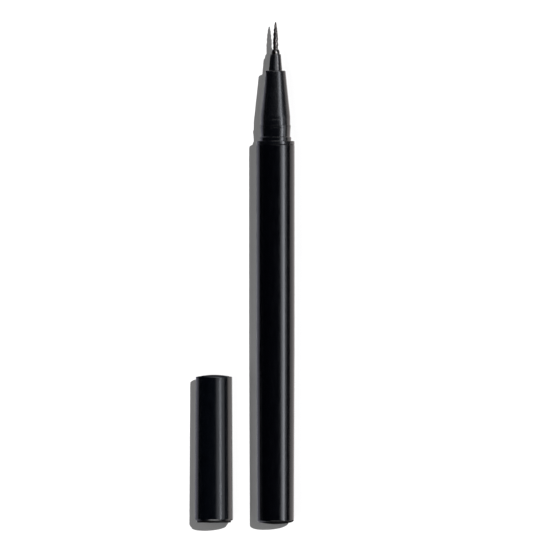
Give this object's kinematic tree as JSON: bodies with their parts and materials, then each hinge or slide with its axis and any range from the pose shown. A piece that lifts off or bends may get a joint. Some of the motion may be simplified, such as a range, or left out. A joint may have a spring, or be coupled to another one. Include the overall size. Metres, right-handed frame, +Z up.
{
  "type": "liquid eyeliner pen",
  "caption": "Slim black cosmetic pen with a fine brush tip, a tapered nose with snap rings and a separate press-on cap lying beside it.",
  "frame": {"origin": "bottom centre of the box around the pen and its cap, on the surface that they lie on", "axes": "+Y runs along the pen from its tail to the brush tip, +X points from the cap towards the pen, and +Z is up"},
  "size_m": [0.0262, 0.1318, 0.01],
  "materials": {
    "black_barrel": "smooth black moulding with a soft gloss",
    "black_nose": "smooth black moulding, slightly glossier than the barrel",
    "black_ferrule": "polished black",
    "dark_bristle": "fine synthetic bristles, wet with black liquid",
    "wick_fibre": "bundled fibre rod soaked in black liquid",
    "white_moulding": "plain white moulding",
    "natural_tank": "uncoloured milky moulding",
    "polished_steel": "polished ball",
    "black_cap": "smooth black moulding with a soft gloss",
    "black_inner_cap": "soft black moulding, waxy",
    "spring_steel": "drawn wire"
  },
  "bodies": {
    "pen": {"barrel": "black_barrel", "tail_plug": "black_barrel", "nose_section": "black_nose", "tip_sleeve": "black_nose", "brush_ferrule": "black_ferrule", "brush_tuft": "dark_bristle", "feed_wick": "wick_fibre", "ink_collector": "white_moulding", "tank_stopper": "white_moulding", "ink_tank": "natural_tank"},
    "ball": {"mixing_ball": "polished_steel"},
    "cap": {"cap_shell": "black_cap", "cap_spring": "spring_steel"},
    "seal_cup": {"inner_cap": "black_inner_cap"}
  },
  "joints": [
    {"name": "cap_slide", "type": "slide", "parent": "pen", "child": "cap", "axis": [0, 1, 0], "range_m": [0, 0.1323]},
    {"name": "inner_cap_press", "type": "slide", "parent": "cap", "child": "seal_cup", "axis": [0, 1, 0], "range_m": [0, 0.0012], "stiffness_N_per_m": 120, "springref_m": -0.001, "deforming": ["cap_spring"]},
    {"name": "ball_roll", "type": "slide", "parent": "pen", "child": "ball", "axis": [0, 1, 0], "range_m": [-0.0052, 0.0318]}
  ]
}
